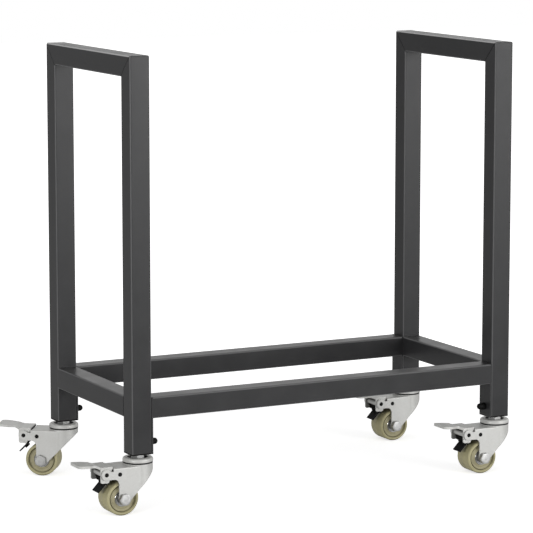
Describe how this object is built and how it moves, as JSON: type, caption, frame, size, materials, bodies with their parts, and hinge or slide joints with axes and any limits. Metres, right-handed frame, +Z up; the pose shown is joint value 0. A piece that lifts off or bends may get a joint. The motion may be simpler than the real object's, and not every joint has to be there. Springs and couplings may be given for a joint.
{
  "type": "rolling firewood rack",
  "caption": "Open firewood rack of charcoal square tube: inverted-U end frames joined by low rails, on swivel casters with pedal brakes.",
  "frame": {"origin": "on the floor under the middle of the tube frame", "axes": "+X along the long rails to the right, +Y towards the rear, +Z up"},
  "size_m": [0.7369, 0.3757, 0.6708],
  "materials": {
    "frame_coat": "satin charcoal powder coat",
    "plug_plastic": "black moulded",
    "black_steel": "black oxide",
    "zinc_sheet": "pale zinc on pressed sheet",
    "bright_steel": "bright turned steel",
    "ball_steel": "polished",
    "tread_urethane": "khaki cast urethane",
    "core_nylon": "khaki moulded nylon",
    "pad_rubber": "black moulded rubber"
  },
  "bodies": {
    "frame": {"left_front_post": "frame_coat", "left_rear_post": "frame_coat", "right_front_post": "frame_coat", "right_rear_post": "frame_coat", "left_top_rail": "frame_coat", "right_top_rail": "frame_coat", "left_cross_rail": "frame_coat", "right_cross_rail": "frame_coat", "front_rail": "frame_coat", "rear_rail": "frame_coat", "leg_plugs": "plug_plastic", "locking_screws": "black_steel", "caster_stems": "bright_steel", "jam_nuts": "bright_steel", "bearing_caps": "zinc_sheet", "swivel_balls": "ball_steel"},
    "front_left_fork": {"front_left_fork": "zinc_sheet", "front_left_axle_bolt": "bright_steel", "front_left_axle_nut": "bright_steel", "front_left_axle_bushings": "bright_steel", "front_left_rivets": "black_steel"},
    "front_left_wheel": {"front_left_wheel_tread": "tread_urethane", "front_left_wheel_core": "core_nylon", "front_left_wheel_bearings": "ball_steel"},
    "front_left_pedal": {"front_left_brake_pedal": "zinc_sheet"},
    "front_left_brake": {"front_left_brake_plate": "black_steel", "front_left_brake_pad": "pad_rubber"},
    "front_right_fork": {"front_right_fork": "zinc_sheet", "front_right_axle_bolt": "bright_steel", "front_right_axle_nut": "bright_steel", "front_right_axle_bushings": "bright_steel", "front_right_rivets": "black_steel"},
    "front_right_wheel": {"front_right_wheel_tread": "tread_urethane", "front_right_wheel_core": "core_nylon", "front_right_wheel_bearings": "ball_steel"},
    "front_right_pedal": {"front_right_brake_pedal": "zinc_sheet"},
    "front_right_brake": {"front_right_brake_plate": "black_steel", "front_right_brake_pad": "pad_rubber"},
    "rear_left_fork": {"rear_left_fork": "zinc_sheet", "rear_left_axle_bolt": "bright_steel", "rear_left_axle_nut": "bright_steel", "rear_left_axle_bushings": "bright_steel", "rear_left_rivets": "black_steel"},
    "rear_left_wheel": {"rear_left_wheel_tread": "tread_urethane", "rear_left_wheel_core": "core_nylon", "rear_left_wheel_bearings": "ball_steel"},
    "rear_left_pedal": {"rear_left_brake_pedal": "zinc_sheet"},
    "rear_left_brake": {"rear_left_brake_plate": "black_steel", "rear_left_brake_pad": "pad_rubber"},
    "rear_right_fork": {"rear_right_fork": "zinc_sheet", "rear_right_axle_bolt": "bright_steel", "rear_right_axle_nut": "bright_steel", "rear_right_axle_bushings": "bright_steel", "rear_right_rivets": "black_steel"},
    "rear_right_wheel": {"rear_right_wheel_tread": "tread_urethane", "rear_right_wheel_core": "core_nylon", "rear_right_wheel_bearings": "ball_steel"},
    "rear_right_pedal": {"rear_right_brake_pedal": "zinc_sheet"},
    "rear_right_brake": {"rear_right_brake_plate": "black_steel", "rear_right_brake_pad": "pad_rubber"}
  },
  "joints": [
    {"name": "front_left_swivel", "type": "hinge", "parent": "frame", "child": "front_left_fork", "pos_m": [-0.30662, -0.13787, 0.07], "axis": [0, 0, 1], "continuous": true},
    {"name": "front_left_roll", "type": "hinge", "parent": "front_left_fork", "child": "front_left_wheel", "pos_m": [-0.33863, -0.13787, 0.0254], "axis": [0, -1, 0], "continuous": true},
    {"name": "front_left_pedal", "type": "hinge", "parent": "front_left_fork", "child": "front_left_pedal", "pos_m": [-0.36593, -0.13787, 0.064], "axis": [0, -1, 0], "range_deg": [0, 26]},
    {"name": "front_left_brake", "type": "hinge", "parent": "front_left_fork", "child": "front_left_brake", "pos_m": [-0.34482, -0.13787, 0.063], "axis": [0, -1, 0], "range_deg": [0, 9.4]},
    {"name": "front_right_swivel", "type": "hinge", "parent": "frame", "child": "front_right_fork", "pos_m": [0.30662, -0.13787, 0.07], "axis": [0, 0, 1], "continuous": true},
    {"name": "front_right_roll", "type": "hinge", "parent": "front_right_fork", "child": "front_right_wheel", "pos_m": [0.27463, -0.13787, 0.0254], "axis": [0, -1, 0], "continuous": true},
    {"name": "front_right_pedal", "type": "hinge", "parent": "front_right_fork", "child": "front_right_pedal", "pos_m": [0.24732, -0.13787, 0.064], "axis": [0, -1, 0], "range_deg": [0, 26]},
    {"name": "front_right_brake", "type": "hinge", "parent": "front_right_fork", "child": "front_right_brake", "pos_m": [0.26843, -0.13787, 0.063], "axis": [0, -1, 0], "range_deg": [0, 9.4]},
    {"name": "rear_left_swivel", "type": "hinge", "parent": "frame", "child": "rear_left_fork", "pos_m": [-0.30662, 0.13787, 0.07], "axis": [0, 0, 1], "continuous": true},
    {"name": "rear_left_roll", "type": "hinge", "parent": "rear_left_fork", "child": "rear_left_wheel", "pos_m": [-0.33251, 0.15668, 0.0254], "axis": [-0.5878, -0.809, 0], "continuous": true},
    {"name": "rear_left_pedal", "type": "hinge", "parent": "rear_left_fork", "child": "rear_left_pedal", "pos_m": [-0.3546, 0.17273, 0.064], "axis": [-0.5878, -0.809, 0], "range_deg": [0, 26]},
    {"name": "rear_left_brake", "type": "hinge", "parent": "rear_left_fork", "child": "rear_left_brake", "pos_m": [-0.33753, 0.16033, 0.063], "axis": [-0.5878, -0.809, 0], "range_deg": [0, 9.4]},
    {"name": "rear_right_swivel", "type": "hinge", "parent": "frame", "child": "rear_right_fork", "pos_m": [0.30662, 0.13787, 0.07], "axis": [0, 0, 1], "continuous": true},
    {"name": "rear_right_roll", "type": "hinge", "parent": "rear_right_fork", "child": "rear_right_wheel", "pos_m": [0.27463, 0.13787, 0.0254], "axis": [0, -1, 0], "continuous": true},
    {"name": "rear_right_pedal", "type": "hinge", "parent": "rear_right_fork", "child": "rear_right_pedal", "pos_m": [0.24732, 0.13787, 0.064], "axis": [0, -1, 0], "range_deg": [0, 26]},
    {"name": "rear_right_brake", "type": "hinge", "parent": "rear_right_fork", "child": "rear_right_brake", "pos_m": [0.26843, 0.13787, 0.063], "axis": [0, -1, 0], "range_deg": [0, 9.4]}
  ],
  "couplings": [
    {"joint": "front_left_brake", "follows": "front_left_pedal", "ratio": 0.36154},
    {"joint": "front_right_brake", "follows": "front_right_pedal", "ratio": 0.36154},
    {"joint": "rear_left_brake", "follows": "rear_left_pedal", "ratio": 0.36154},
    {"joint": "rear_right_brake", "follows": "rear_right_pedal", "ratio": 0.36154}
  ]
}
